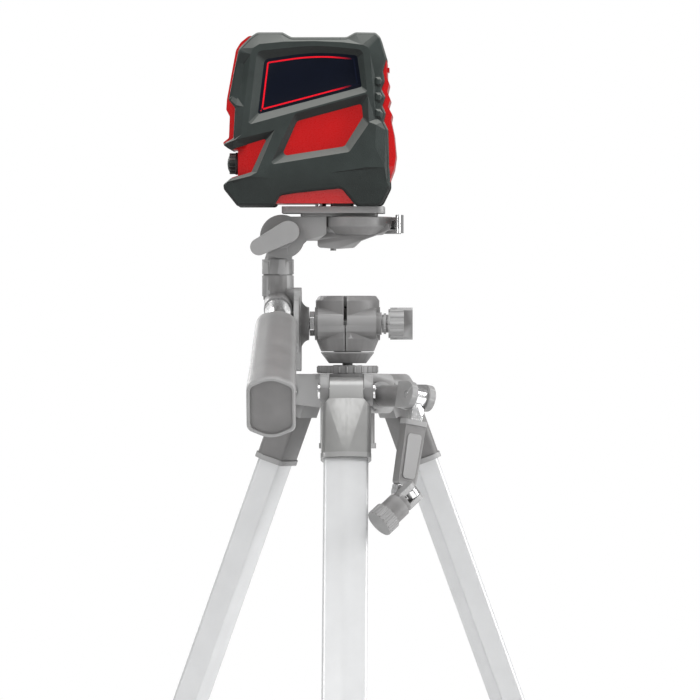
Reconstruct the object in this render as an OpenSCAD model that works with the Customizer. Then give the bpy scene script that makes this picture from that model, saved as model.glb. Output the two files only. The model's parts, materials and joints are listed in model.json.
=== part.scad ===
// Cross-line laser level on a small crank-column tripod with a three-way head.
// Millimetres, Z up. The floor is z = 0 and the tripod's footprint is centred on the origin.

/* [Stance] */
// Length of a closed leg, from its pivot to its sole
leg_length = 400; // [390:2:420]
// Angle of a spread leg from the vertical
leg_splay = 22.5; // [21:0.5:24]
// Distance of the leg pivots from the column's axis
pivot_radius = 29; // [29:0.5:31]

/* [Legs] */
// Width of the upper leg tube across its outer face
tube_w = 26; // [25:0.5:27]
// Depth of the upper leg tube
tube_d = 13; // [12.5:0.5:14]
// Distance from the leg pivot to the brace pivot along the leg
brace_at = 206; // [202:1:208]
// Length of a brace strut between its pivots
strut_length = 114; // [112:1:116]

/* [Column and crank] */
// Radius of the centre column
column_r = 8.5; // [8.5:0.1:8.8]
// Travel of the centre column
column_travel = 180; // [150:5:185]
// Pitch radius of the crank's pinion
pinion_r = 3.5; // [3.4:0.05:3.6]
// Distance from the crank's shaft to the stud of its grip
crank_reach = 56; // [50:1:57]
// Lean of the crank arm from straight down
crank_lean = 10; // [0:1:12]

/* [Head] */
// Height of the tilt axis above the leg pivots
tilt_height = 39; // [39:0.5:42]
// Height of the quick plate's top face above the leg pivots
plate_height = 107; // [107:0.5:110]
// Slope of the pan handle below the horizontal
handle_drop = 20.5; // [18:0.5:21]
// Length of the pan handle from its root
handle_length = 174; // [150:2:176]

/* [Laser level] */
// Half width of the housing shells
shell_half = 29; // [28.5:0.5:29.5]
// Half width over the rubber bumpers
bumper_half = 32.6; // [31.8:0.2:33]
// Position of the laser's centre along X
laser_x = -22; // [-23:0.5:-21]

/* [Hidden] */
$fn = 48;
legs = [["front", -90], ["right", 30], ["left", 150]];
running = 0.05;                 // radial clearance of a running fit
gap = 0.3;                      // gap between faces that pass each other
pivot_z = leg_length * cos(leg_splay);
leg_offset = 2;                 // the tube's centre line lies this far outside the pivot
foot_r = 12.5;
sole_radius = pivot_radius + leg_length * sin(leg_splay) + leg_offset / cos(leg_splay);
front_reach = sole_radius + foot_r / cos(leg_splay);
back_reach = sole_radius / 2 + norm([foot_r / cos(leg_splay) * sin(30), foot_r * cos(30)]);
column_y = (front_reach - back_reach) / 2;
ear_in = 10.1;                  // the crown's ears stand between these distances from the leg's middle
ear_out = 15.1;
bolt_r = 2.5;
bracket_end = 45;
tube_top = 19;
tube_end = 350;
clamp_start = 334;
clamp_end = 362;
lever_at = [15.4, 342];         // outward offset and distance down the leg of the clamp lever's pin
lower_top = 60;
lower_end = 388;
guide_r = 11;
guide_bottom = -330;
collar_pin_r = 17;
brace_x = pivot_radius + brace_at * sin(leg_splay) + leg_offset * cos(leg_splay);
brace_z = -brace_at * cos(leg_splay) + leg_offset * sin(leg_splay);
collar_z = brace_z - sqrt(pow(strut_length, 2) - pow(brace_x - collar_pin_r, 2));
strut_angle = atan2(brace_x - collar_pin_r, brace_z - collar_z);
teeth = 8;
tooth_pitch = 2 * PI * pinion_r / teeth;
rack_line = 5.5;                // distance of the rack's pitch line from the column's axis
shaft_t = rack_line + pinion_r;
shaft_r = 2.5;
crank_z = -3;
crank_axis = -60;
fold_n = 67;                    // distance of the crank's fold pin along its shaft
grip_n = 77.5;                  // distance of the grip's middle along the shaft
grip_angle = 39.2;              // slope of the folded grip below the horizontal
knob_y = -13.2;
arm_x = -40.5;
flip = [-37.9, -17.4];          // flip axis, X and height against the quick plate's top
screw_x = -15.6;
gimbal_z = 82;
knob_z = 25.1;

// ---------- outlines ----------

function unit(v) = v / norm(v);

// Points of the arc that rounds corner p, between neighbours a and b, to radius r
function corner(a, p, b, r, n) =
    let (u = unit(a - p), w = unit(b - p), h = acos(max(-1, min(1, u * w))) / 2,
         c = p + unit(u + w) * r / sin(h), s = p + u * r / tan(h) - c, e = p + w * r / tan(h) - c,
         a0 = atan2(s.y, s.x), turn = atan2(s.x * e.y - s.y * e.x, s * e))
    [for (i = [0:n]) c + r * [cos(a0 + turn * i / n), sin(a0 + turn * i / n)]];

// An outline whose points are [x, y, corner radius]
function rounded(p, n = 5) =
    [for (i = [0:len(p) - 1])
        let (a = p[(i + len(p) - 1) % len(p)], q = p[i], b = p[(i + 1) % len(p)])
        each (q.z > 0 ? corner([a.x, a.y], [q.x, q.y], [b.x, b.y], q.z, n) : [[q.x, q.y]])];

// The outline around a circle of radius rp at p and one of radius rq at q
function capsule(p, rp, q, rq, n = 12) =
    let (a = atan2(q.y - p.y, q.x - p.x), f = acos((rp - rq) / norm(q - p)))
    concat([for (i = [0:n]) q + rq * [cos(a - f + 2 * f * i / n), sin(a - f + 2 * f * i / n)]],
           [for (i = [0:n]) let (b = a + f + (360 - 2 * f) * i / n) p + rp * [cos(b), sin(b)]]);

// The leg's section: a trapezium, wide outside, with rounded corners and a slightly crowned outer face
module leg_section(grow = 0) {
    r = max(0.6, 2 + grow);
    w = tube_w / 2 + 0.6 * r + grow;          // the rounded corner stops 0.6 of its radius short
    v = 7.5 + grow * 0.9;
    d = tube_d / 2 + grow * 0.95;
    translate([leg_offset, 0])
        polygon(rounded([[-d, -v, r * 0.7], [d - 1, -w, r], [d + 0.6, 0, 22], [d - 1, w, r],
            [-d, v, r * 0.7]]));
}

module along_x(x0, x1) translate([x0, 0, 0]) rotate([90, 0, 90]) linear_extrude(x1 - x0) children();
module along_y(y0, y1) translate([0, y1, 0]) rotate([90, 0, 0]) linear_extrude(y1 - y0) children();
module along_z(z0, z1) translate([0, 0, z0]) linear_extrude(z1 - z0) children();
module rod_x(x0, x1, r) translate([x0, 0, 0]) rotate([0, 90, 0]) cylinder(h = x1 - x0, r = r);
module rod_y(y0, y1, r) translate([0, y1, 0]) rotate([90, 0, 0]) cylinder(h = y1 - y0, r = r);
module rod_z(z0, z1, r) translate([0, 0, z0]) cylinder(h = z1 - z0, r = r);
module block(low, high) translate(low) cube(high - low);

// ---------- places ----------

module at_pivots() translate([0, column_y, pivot_z]) children();
module at_head() translate([0, column_y, pivot_z + tilt_height]) children();
module at_plate() translate([0, column_y, pivot_z + plate_height]) children();
module at_laser() translate([laser_x, column_y, pivot_z + plate_height]) children();

// A leg's own frame: X outwards, Y across, -Z down the leg from its pivot
module at_leg(a)
    at_pivots() rotate([0, 0, a]) translate([pivot_radius, 0, 0]) rotate([0, -leg_splay, 0]) children();

// The crank's frame: X out along its shaft, Y towards the pinion's side of the column
module at_crank() at_pivots() translate([0, 0, crank_z]) rotate([0, 0, crank_axis]) children();
module at_shaft() at_crank() translate([0, shaft_t, 0]) children();
module at_arm() at_shaft() rotate([-crank_lean, 0, 0]) children();

// The grip's frame: Z out along the folded grip from its pin
module at_grip()
    at_arm() translate([grip_n, 0, -crank_reach]) rotate([crank_lean, 0, 0]) rotate([90 + grip_angle, 0, 0])
        children();

// The handle's frame: Z out along the handle from its root
module at_handle()
    at_head() translate([-40.2, 0, 13]) rotate([90 + handle_drop, 0, 0]) children();

// ---------- stand ----------

module ear_outline()
    polygon(rounded([[2, 9.8, 0], [32, 9.8, 5], [37, 3, 5], [36, -6, 4], [26, -8, 3], [2, -10.5, 0]]));

module crown() color("#8f8d8b") at_pivots() difference() {
    union() {
        rod_z(-33.5, 9.9, 15.75);
        rod_z(-33.5, -30.5, 16.6);
        rod_z(6.9, 9.9, 20);
        for (leg = legs) rotate([0, 0, leg[1]])
            for (side = [-1, 1]) scale([1, side, 1]) along_y(ear_in, ear_out) ear_outline();
        translate([0, 0, crank_z]) rotate([0, 0, crank_axis]) translate([0, shaft_t, 0]) {
            along_x(0, 22) polygon(rounded([[-9.5, -10, 4], [9.5, -10, 4], [9.5, 12.9, 4], [-9.5, 12.9, 4]]));
            rod_x(20, 24, 8.4);
        }
    }
    rod_z(-34, 10, column_r + running);
    rod_z(-34, -20, guide_r);
    for (leg = legs) rotate([0, 0, leg[1]]) {
        translate([pivot_radius, 0, 0]) rod_y(-16, 16, bolt_r);
        block([20.6, -ear_in, -12], [40, ear_in, 12]);
    }
    translate([0, 0, crank_z]) rotate([0, 0, crank_axis]) translate([0, shaft_t, 0]) {
        rod_x(-12, 25, shaft_r + running);
        rod_x(-5.4, 5.4, pinion_r + 1.5);
    }
}

module leg_bolts() color("#c8c8c8") at_pivots() for (leg = legs)
    rotate([0, 0, leg[1]]) translate([pivot_radius, 0, 0]) {
        rod_y(-ear_out, ear_out, bolt_r);
        rod_y(ear_out, ear_out + 1.6, 4.4);
        rod_y(-ear_out - 1.6, -ear_out, 4.4);
    }

module guide_tube() color("#b9b8b6") at_pivots() difference() {
    rod_z(guide_bottom, -20, guide_r);
    rod_z(guide_bottom - 1, -19, guide_r - 1.4);
}

module guide_cap() color("#8f8d8b") at_pivots() {
    rod_z(guide_bottom, guide_bottom + 10, guide_r - 1.4);
    rod_z(guide_bottom - 5, guide_bottom, guide_r + 1.4);
    rod_z(guide_bottom - 7, guide_bottom - 5, guide_r - 1);
}

// The bracket's front view: a head between the crown's ears that flares to the width of the tube
function bracket_points() = [[-9.8, 9, 0], [9.8, 9, 0], [9.8, -8, 2], [14.6, -14, 3], [14.6, -50, 0],
    [-14.6, -50, 0], [-14.6, -14, 3], [-9.8, -8, 2]];

module bracket(a) color("#8a8886") at_leg(a) difference() {
    intersection() {
        union() {
            along_z(-bracket_end, -8.5) leg_section(1.4);
            along_z(-bracket_end, -bracket_end + 3) leg_section(2.2);
            block([-8, -9.8, -14], [8, 9.8, 0]);
            rod_y(-9.8, 9.8, 8);
        }
        along_x(-20, 30) polygon(rounded(bracket_points()));
    }
    along_z(-bracket_end - 1, -tube_top) leg_section();
    rod_y(-12, 12, bolt_r + running);
}

module upper_tube(a) color("#dedede") at_leg(a) {
    difference() {
        along_z(-tube_end, -tube_top) leg_section();
        along_z(-tube_end - 1, -tube_top + 1) leg_section(-1.2);
    }
    for (side = [-1, 1]) scale([1, side, 1]) translate([leg_offset + 3.2, 0, -brace_at])
        rod_y(tube_w / 2 - 0.6, tube_w / 2 + 0.3, 2.6);
}

module clamp(a) color("#8f8d8b") at_leg(a) difference() {
    union() {
        along_z(-clamp_end, -clamp_start) leg_section(2.4);
        for (side = [-1, 1]) scale([1, side, 1])
            block([6, 9.2, -lever_at.y - 4], [lever_at.x + 3, 12.2, -lever_at.y + 4]);
    }
    along_z(-tube_end, -clamp_start + 1) leg_section();
    along_z(-clamp_end - 1, -tube_end + 1) leg_section(-1.3);
    translate([lever_at.x, 0, -lever_at.y]) rod_y(-14, 14, 1.5 + running);
}

module clamp_lever(a) color("#7c7a78") at_leg(a) {
    translate([lever_at.x, 0, -lever_at.y]) {
        rod_y(-8.9, 8.9, 3);
        rod_y(-12.2, 12.2, 1.5);
        along_y(-8.9, 8.9)
            polygon(rounded([[-2.6, 0, 0], [2.6, 0, 0], [2.8, -22, 3], [6, -32, 1.5], [2.4, -33, 1.5],
                [-2.2, -20, 4]]));
    }
}

module lower_tube(a) color("#e6e6e6") at_leg(a) difference() {
    along_z(-lower_end, -lower_top) leg_section(-1.6);
    along_z(-lower_end - 1, -lower_top + 1) leg_section(-2.6);
}

module foot(a) color("#7f7e7c") intersection() {
    at_leg(a) difference() {
        union() {
            along_z(-390, -372) leg_section(0.6);
            translate([leg_offset, 0, 0]) rod_z(-leg_length - 12, -386, foot_r);
            translate([leg_offset, 0, 0]) rod_z(-386, -383, foot_r - 1);
        }
        along_z(-lower_end, -371) leg_section(-1.6);
    }
    block([-300, -300, 0], [300, 300, 100]);
}

module brace_collar() color("#8f8d8b") at_pivots() translate([0, 0, collar_z]) difference() {
    union() {
        rod_z(-8, 8, 13.3);
        for (leg = legs) rotate([0, 0, leg[1]]) {
            block([10, -2.6, -3.4], [collar_pin_r, 2.6, 3.4]);
            translate([collar_pin_r, 0, 0]) rod_y(-2.6, 2.6, 3.4);
        }
    }
    rod_z(-9, 9, guide_r + running);
    for (leg = legs) rotate([0, 0, leg[1]]) translate([collar_pin_r, 0, 0]) rod_y(-4, 4, 1.5 + running);
}

module strut(a) color("#a5a3a1") at_pivots() rotate([0, 0, a]) translate([collar_pin_r, 0, collar_z])
    rotate([0, strut_angle, 0]) {
        rod_y(-6, 6, 1.5);
        for (side = [-1, 1]) scale([1, side, 1]) {
            rod_y(2.9, 6, 3.2);
            block([-2.4, 2.9, 0], [2.4, 6, 12]);
            block([-1.4, 5, 10], [3.2, 6, 34]);
            difference() {
                union() {
                    block([-1.4, 13.6, 30], [3.6, 15.2, strut_length]);
                    translate([0, 0, strut_length]) rod_y(13.6, 15.2, 4.6);
                }
                translate([0, 0, strut_length]) rod_y(13, 16, 2);
            }
        }
        block([-1.4, -6, 10], [1.4, 6, 34]);
        block([-1.4, -15.2, 30], [1.4, 15.2, 35]);
    }

// ---------- column and crank ----------

// The rack's outline, from its bottom to its top, as the edge of the space that is cut from the column
function rack_edge(low, high) =
    [for (k = [ceil(low / tooth_pitch):floor(high / tooth_pitch) - 1])
        let (z = (k + 0.5) * tooth_pitch)
        each [[rack_line - 1.0, z - 0.32 * tooth_pitch], [rack_line + 0.7, z - 0.13 * tooth_pitch],
              [rack_line + 0.7, z + 0.13 * tooth_pitch], [rack_line - 1.0, z + 0.32 * tooth_pitch]]];

module column_tube() color("#cfcfce") {
    rack_low = -column_travel - 8;
    edge = rack_edge(rack_low, 9);
    at_pivots() difference() {
        rod_z(-column_travel - 34, 15, column_r);
        rod_z(-column_travel - 35, 16, 3);
        translate([0, 0, crank_z]) rotate([0, 0, crank_axis]) along_x(-9, 9)
            polygon(concat(edge, [[12, edge[len(edge) - 1].y], [12, edge[0].y]]));
    }
}

module pan_base() color("#8f8d8b") at_head() {
    difference() {
        union() {
            rotate_extrude() polygon([[0, -23], [10.8, -23], [15.4, -17], [15.4, -16.4], [0, -16.4]]);
            rod_z(-17, 9, 8);
        }
        rod_z(-24, -23 + 3.5, column_r);
        rod_z(-24, 4, 3.2);
    }
    rod_z(-tilt_height + 15, -8, 3);
}

module column_lock_ring() color("#a3a1a0") at_pivots() difference() {
    union() {
        rod_z(10.1, 14.6, 17.4);
        for (i = [0:23]) rotate([0, 0, i * 15]) translate([17.2, 0, 0]) rod_z(10.6, 14.1, 0.7);
    }
    rod_z(9, 16, column_r + 0.4);
}

// The pinion's teeth point at the rack when the crank is at rest
function pinion_edge() =
    [for (i = [0:teeth - 1], p = [[-1, -14.5], [0.75, -4.6], [0.75, 4.6], [-1, 14.5]])
        let (r = pinion_r + p.x, a = 180 + i * 360 / teeth + p.y) r * [cos(a), sin(a)]];

module crank_pinion() color("#c8c8c8") at_shaft() {
    along_x(-5, 5) polygon(pinion_edge());
    rod_x(-11, -5, shaft_r);
    rod_x(5, 48, shaft_r);
}

module crank_hub() color("#8f8d8b") at_arm() difference() {
    union() {
        rod_x(24.3, 28, 5.2);
        rod_x(27.5, 56, 6.4);
        rod_x(54, 58, 7.8);
        for (side = [-1, 1]) scale([1, side, 1]) {
            block([56, 4, -7.6], [fold_n, 7.8, 7.6]);
            translate([fold_n, 0, 0]) rod_y(4, 7.8, 7.6);
        }
    }
    rod_x(24, 48, shaft_r);
    translate([fold_n, 0, 0]) rod_y(-9, 9, 2 + running);
}

module crank_tang() color("#dcdcdc") at_arm() {
    translate([fold_n, 0, 0]) {
        rod_y(-3.8, 3.8, 5.6);
        rod_y(-7.8, 7.8, 2);
        block([-3, -3.8, -14], [3, 3.8, 0]);
    }
}

module crank_arm() color("#828080") at_arm() translate([fold_n, 0, 0]) {
    along_z(-17, -14) polygon(rounded([[-4.6, -7, 1.5], [4.6, -7, 1.5], [4.6, 7, 1.5], [-4.6, 7, 1.5]]));
    along_x(-3.6, 3.6) polygon(rounded([[-6.7, -17, 0], [6.7, -17, 0], [6, -crank_reach + 4, 2],
        [-6, -crank_reach + 4, 2]]));
    along_x(-4.2, 4.2) polygon(rounded([[-4.6, -22, 2], [4.6, -22, 2], [4, -crank_reach + 8, 2],
        [-4, -crank_reach + 8, 2]]));
}

module crank_yoke() color("#d4d4d4") at_arm() translate([fold_n, 0, -crank_reach]) {
    difference() {
        union() {
            rod_x(-3.4, 3.4, 6);
            block([-3.4, -5.8, 0], [3.4, 5.8, 4]);
        }
        block([-4, -7, 4], [4, 7, 7]);
    }
    translate([grip_n - fold_n, 0, 0]) rotate([crank_lean, 0, 0]) rotate([90 + grip_angle, 0, 0]) difference() {
        union() {
            block([-7.4, -2.4, -3], [0, 2.4, 3]);
            rod_y(-2.4, 2.4, 4);
        }
        rod_y(-4, 4, 1.5 + running);
    }
}

// The folding fork and the turning grip share one axis, along Z of the grip's frame
module crank_grip() color("#848281") at_grip() {
    rod_y(-5.6, 5.6, 1.5);
    for (side = [-1, 1]) scale([1, side, 1]) {
        rod_y(2.7, 5.6, 4);
        block([-4, 2.7, 0], [4, 5.6, 9]);
    }
    rod_z(7.5, 10.5, 6.2);
    rod_z(10.5, 20, 7.4);
    rod_z(20, 28, 8.4);
    for (i = [0:17]) rotate([0, 0, i * 20]) translate([8.2, 0, 0]) rod_z(20.6, 27.4, 0.55);
}

// ---------- head ----------

module pan_drum() color("#8f8d8b") at_head() difference() {
    union() {
        rotate_extrude() polygon(rounded([[0, -16.1, 0], [15.4, -16.1, 0.8], [18.5, -8.5, 2], [18.5, 13.4, 1],
            [16.6, 16.2, 1.5], [0, 16.2, 0]]));
        translate([0, knob_y, 0]) rod_x(8, 20, 6.5);
        rod_x(-18.9, 18.9, 9.6);
        for (side = [-1, 1]) translate([0, -11, 0]) rod_x(min(0, side * 17), max(0, side * 17), 9);
    }
    rod_z(-17, 10, 8 + running);
    block([-2, -22, -1], [0, -6, 17]);
    block([-1.3, -22, -17], [-0.7, -6, 0]);
    translate([0, knob_y, 0]) rod_x(-13, 21, 2.4 + running);
    rod_x(-20, -10.5, 3);
}

module pan_knob() color("#8a8886") at_head() translate([0, knob_y, 0]) {
    rod_x(-12, 23, 2.4);
    rod_x(20.2, 24, 5.2);
    rod_x(21.2, 22.6, 6);
    rod_x(24, 33, 8.4);
    for (i = [0:11]) rotate([i * 30, 0, 0]) translate([0, 0, 8.2]) rod_x(25, 33, 1.1);
    along_x(29, 38) polygon(rounded([[-2.6, -9.3, 2], [2.6, -9.3, 2], [3.4, 0, 3], [2.6, 9.3, 2],
        [-2.6, 9.3, 2], [-3.4, 0, 3]]));
}

module tilt_bolt() color("#d2d2d2") at_head() {
    rod_x(-34.5, -10.5, 3);
    rod_x(-34.5, -31.1, 6);
    rotate([0, 90, 0]) translate([0, 0, -22]) cylinder(h = 3, r = 7.2, $fn = 6);
}

module tilt_arm() color("#8f8d8b") at_head() difference() {
    union() {
        intersection() {
            along_x(-30.9, -26.9)
                polygon(rounded([[-12, 21, 5], [12, 21, 5], [14, 0, 8], [7, -30, 2], [-7, -30, 2],
                    [-14, 0, 8]]));
            rod_x(-32, -20, 27.6);
        }
        rotate([0, 90, 0]) rotate_extrude() polygon(concat([[0, -30.9], [20, -30.9]],
            [for (a = [0:10:90]) [20 - 10.4 * sin(a), -22.4 - 5.6 * cos(a)]], [[0, -22.4]]));
        translate([arm_x, 0, 0]) {
            rod_z(16, 28, 9.2);
            rod_z(28.8, 37.4, 9.2);
            rod_z(14, 37.4, 8.5);
        }
        along_x(-46, -28) polygon(rounded([[-8, 6, 3], [8, 6, 3], [8, 21, 3], [-8, 21, 3]]));
        translate([-40.2, 0, 13]) rotate([90 + handle_drop, 0, 0]) rod_z(-7, 14, 8.2);
        along_y(-7.8, 7.8)
            polygon([[arm_x - 8, 36], [arm_x + 8, 36], [arm_x + 8.5, 46], [arm_x - 5, 46]]);
        translate([flip.x, 0, plate_height - tilt_height + flip.y]) rod_y(-7.8, 7.8, 11.5);
    }
    rod_x(-35, -20, 3 + running);
    rod_x(-40, -30.9, 6.6);
    translate([-40.2, 0, 13]) rotate([90 + handle_drop, 0, 0]) rod_z(-4, 15, 4 + running);
    translate([flip.x, 0, plate_height - tilt_height + flip.y]) rod_y(-10, 10, 3 + running);
}

module handle_rod() color("#c6c6c6") at_handle() {
    rod_z(-3, 15, 4);
    rod_z(14.4, 60, 5.4);
    rod_z(14.4, 17, 7.4);
    rod_z(60, 150, 3);
}

module grip_slice(z, w, h) translate([0, 0, z]) hull() for (x = [-1, 1], y = [-1, 1])
    translate([x * (w / 2 - 6), y * (h / 2 - 6), 0]) cylinder(h = 0.1, r = 6, $fn = 28);

module handle_grip() color("#8f8d8b") at_handle() difference() {
    union() {
        hull() { grip_slice(40, 13, 13); grip_slice(46, 20, 20); grip_slice(55, 23.6, 24); }
        hull() { grip_slice(55, 23.6, 24); grip_slice(110, 25.4, 29.6); }
        hull() { grip_slice(110, 25.4, 29.6); grip_slice(handle_length, 27.8, 36.4); }
    }
    rod_z(39, 60, 5.5);
    rod_z(59, 151, 3.1);
    hull() { grip_slice(handle_length - 1.6, 22, 30); grip_slice(handle_length + 1, 22, 30); }
}

module flip_pin() color("#c8c8c8") at_plate() translate([flip.x, 0, flip.y]) {
    rod_y(-21, 16.4, 3);
    rod_y(16.3, 18.6, 5.6);
}

module wing_knob() color("#8f8d8b") at_plate() translate([flip.x, 0, flip.y]) difference() {
    union() {
        rod_y(-20, -16.5, 7);
        along_y(-25.4, -19) polygon(capsule([3.9, 2.6], 6.4, [-13.2, -6.2], 4.9));
    }
    rod_y(-21.1, -16, 3 + running);
}

module platform() color("#8a8886") at_plate() difference() {
    union() {
        translate([4.7, 0, 0]) rotate_extrude()
            polygon(rounded([[0, -17.1, 0], [16, -16.4, 3], [21.3, -11.4, 2], [21.3, -5.9, 0.6],
                [0, -5.9, 0]]));
        along_y(-16, 16) polygon(rounded([[-30, -19.6, 1.5], [-17, -19.6, 1.5], [-12, -16, 1], [-12, -5.9, 0],
            [-29, -5.9, 0]]));
        for (side = [-1, 1]) scale([1, side, 1]) {
            translate([flip.x, 0, flip.y]) rod_y(8.2, 16, 12.6);
            along_y(8.2, 16) polygon([[flip.x, -5.9], [-24, -5.9], [-24, -19.6], [flip.x + 4, -29]]);
        }
        along_y(-11.5, 11.5) polygon(rounded([[-17.2, -12, 0], [-17.2, -23.6, 1.5], [-6, -24.4, 6],
            [3.6, -23.8, 1.5], [7.8, -19.8, 1], [24.5, -13.6, 1], [24.5, -10, 0]]));
        translate([-8.3, 0, 0]) rod_z(-25.5, -20, 1.7);
        block([20, 9, -15.6], [31, 17, -5.9]);
    }
    for (side = [-1, 1]) scale([1, side, 1]) block([-60, -8.1, -40], [-24.2, 8.1, -5]);
    block([-13.4, -9, -12], [6, 9, -5]);
    translate([flip.x, 0, flip.y]) rod_y(-20, 20, 3);
    block([22.4, 5, -13.4], [35, 18, -7.6]);
    translate([28, 13, 0]) rod_z(-17, -5, 1.5);
}

module release_lever() color("#dedede") at_plate() {
    translate([28, 13, 0]) {
        rod_z(-13.2, -7.8, 3.6);
        rod_z(-15.6, -5.9, 1.4);
    }
    along_z(-13.2, -7.8) polygon(rounded([[24.8, 13, 0], [31.2, 13, 0], [32.4, -8, 2], [31, -19, 1.4],
        [28.4, -19, 1.4], [27.4, 4, 4]]));
    along_z(-15.4, -4.9) polygon(rounded([[27.8, 2, 1], [32.6, 2, 1], [32.6, -8, 2], [31, -19, 1.4],
        [28.4, -19, 1.4]]));
}

module quick_plate() color("#9a9896") at_plate() difference() {
    union() {
        along_z(-3.9, 0) polygon(rounded([[-37.9, -20.5, 4], [21.7, -20.5, 4], [21.7, 20.5, 4],
            [-37.9, 20.5, 4]]));
        along_z(-5.8, -3.9) polygon(rounded([[-27, -16, 2], [17.5, -16, 2], [17.5, 16, 2], [-27, 16, 2]]));
        block([-13, -8.6, -11], [5.6, 8.6, -5.8]);
        along_z(0, 1.5) polygon(rounded([[-9.6, -16, 2], [3.4, -16, 2], [3.4, 16, 2], [-9.6, 16, 2]]));
    }
    translate([screw_x, 0, 0]) {
        rod_z(-12, -2.4, 8);
        rod_z(-3, 1, 3.3);
    }
}

module mount_screw() color("#c8c8c8") at_plate() translate([screw_x, 0, 0]) {
    rod_z(-5.6, -2.6, 7.4);
    rod_z(-2.7, 9, 3.175);
}

// ---------- laser level ----------

function shell_points() = [[-38, 1.6, 4], [42, 1.6, 6], [45.6, 11, 2], [49.4, 21.5, 4], [50.5, 29, 6],
    [49.4, 41, 8], [47.6, 49.4, 1], [48.3, 53.1, 1.5], [46, 57.4, 1], [47.3, 61.7, 1.5], [45.5, 66, 1],
    [46.6, 70.8, 1.5], [45.3, 74.4, 1], [45.2, 84, 6], [40.5, 96.6, 6], [-26, 96.6, 3], [-34.2, 98.7, 3],
    [-39.4, 94.8, 6], [-42.2, 90.5, 5], [-43.4, 84.5, 8], [-47.6, 62, 10], [-48, 56, 1.5], [-45.9, 52, 1.5],
    [-46.4, 39.6, 1.5], [-49.8, 37, 0.8], [-49.4, 35.6, 0.5], [-45.2, 33, 0.8], [-41, 32.6, 0.4],
    [-41, 17.7, 0.4], [-45, 16.6, 0.8], [-45.2, 13, 3]];

function bumper_points() = [[-41.4, 0, 1.5], [-20, 0, 2], [-16.5, 6, 3], [-8, 7.4, 3], [19, 10.2, 4],
    [26.5, 1, 3], [29, 0, 1.5], [41.9, 0, 5], [47.2, 10.9, 4], [46.2, 44, 3], [43.6, 49, 2],
    [44.8, 53.5, 2], [42.8, 58, 2], [44.6, 63, 2], [42.2, 67.5, 2], [44.2, 72, 2], [43.2, 78, 2],
    [45.2, 85.2, 4], [41.5, 97.7, 4], [38.7, 100.3, 2], [27, 100.5, 3], [22, 97.7, 4], [-10, 97.7, 4],
    [-15, 100.5, 3], [-30, 100.5, 4], [-34, 97.6, 3], [-40.5, 91, 6], [-42, 83.6, 8], [-46.4, 61.4, 1.5],
    [-42.6, 56.8, 2], [-43.6, 39.2, 1], [-50.1, 35.6, 0.8], [-44.9, 32.6, 1], [-36, 35.4, 20],
    [-24.4, 38.9, 0.8], [-33.1, 19.6, 1], [-45, 16, 1.5], [-49.4, 12.4, 1.5], [-49, 9.6, 2]];

// Openings of each bumper: the label's and the lower panel's
function label_points() = [[-29.3, 53.1, 2], [30.6, 68.9, 2], [28.3, 86.2, 3], [8.7, 88.6, 20],
    [-5.9, 88.2, 20], [-25.4, 84.8, 4]];
function panel_points() = [[-15.7, 28.8, 2], [20.8, 34.5, 3], [31.4, 51.5, 2], [30.6, 59.2, 1.5],
    [-6.7, 49.1, 3]];

module outline(points) polygon(rounded(points, 4));

// What is cut off the housing's front vertical edge, deeper by depth under its slanting face
module front_wedge(depth) translate([-35.4, shell_half, 0]) rotate([0, 0, 36.9])
    block([-40, -depth, -2], [12, 20, 110]);

// The rear band of the housing, between two depths under its surface
module rear_band(depth0, depth1) difference() {
    translate([-depth0, 0]) outline(shell_points());
    translate([-depth1, 0]) outline(shell_points());
}

module cover_opening(grow) translate([0, -17 - grow, 13 - grow]) cube([60, 34 + 2 * grow, 68 + 2 * grow]);

module shell(side) color("#c4161a") at_laser() scale([1, side, 1]) difference() {
    along_y(0.05, shell_half) outline(shell_points());
    front_wedge(0);
    difference() {
        along_y(-1, shell_half - 2.2) translate([1.6, 49.1]) scale(0.945) translate([-1.6, -49.1])
            outline(shell_points());
        block([-12, -2, 0], [24, 12, 12]);
        block([26, -2, 0], [27.8, 30, 100]);
        for (x = [-27, 4]) block([x, -2, 79], [x + 3, 6, 96]);
        block([-60, -2, 10], [-38.7, 30, 33]);
        front_wedge(2.2);
    }
    translate([0, 0, gimbal_z]) rod_x(-30, 10, 1.2 + running);
    translate([43, 0, 0]) cover_opening(0.3);
    block([-60, -1, 56], [-38, 16.3, 86.3]);
    translate([screw_x - laser_x, 0, 0]) rod_z(0, 13, 3.3);
    translate([0, 0, knob_z]) rod_x(-42, -36, 2 + running);
}

module bumper(side) color("#33363a") at_laser() scale([1, side, 1]) difference() {
    along_y(13, bumper_half) outline(bumper_points());
    difference() {
        along_y(12, shell_half) outline(shell_points());
        front_wedge(0);
    }
    along_y(12, 40) outline(label_points());
    along_y(12, 40) outline(panel_points());
    block([-60, 12, 50], [-38, 17, 90]);
    translate([43, 0, 0]) cover_opening(0.3);
}

module side_labels() color("#141a2c") at_laser() for (side = [-1, 1]) scale([1, side, 1])
    along_y(shell_half, shell_half + 0.9) outline(label_points());

module window_glass() color("#aab4b8", 0.5) at_laser() along_y(-16, 16)
    polygon(rounded([[-46.1, 56.2, 0.6], [-44.1, 56.2, 0.6], [-40.2, 86, 0.6], [-42, 86, 0.6]]));

module lock_knob() color("#1d1e20") at_laser() translate([0, 0, knob_z]) {
    rotate([0, 90, 0]) rotate_extrude()
        polygon(rounded([[0, -47.9, 0], [3.4, -47.6, 8], [5.6, -46.2, 1.5], [5.7, -43.2, 0], [6.5, -43.2, 0.3],
            [6.5, -41.3, 0.3], [2, -41.3, 0], [2, -38.3, 0], [3.2, -38.3, 0], [3.2, -37, 0], [0, -37, 0]]));
    for (i = [0:15]) rotate([i * 22.5, 0, 0]) block([-46.6, -0.5, 5.2], [-43, 0.5, 6.1]);
}

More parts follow.
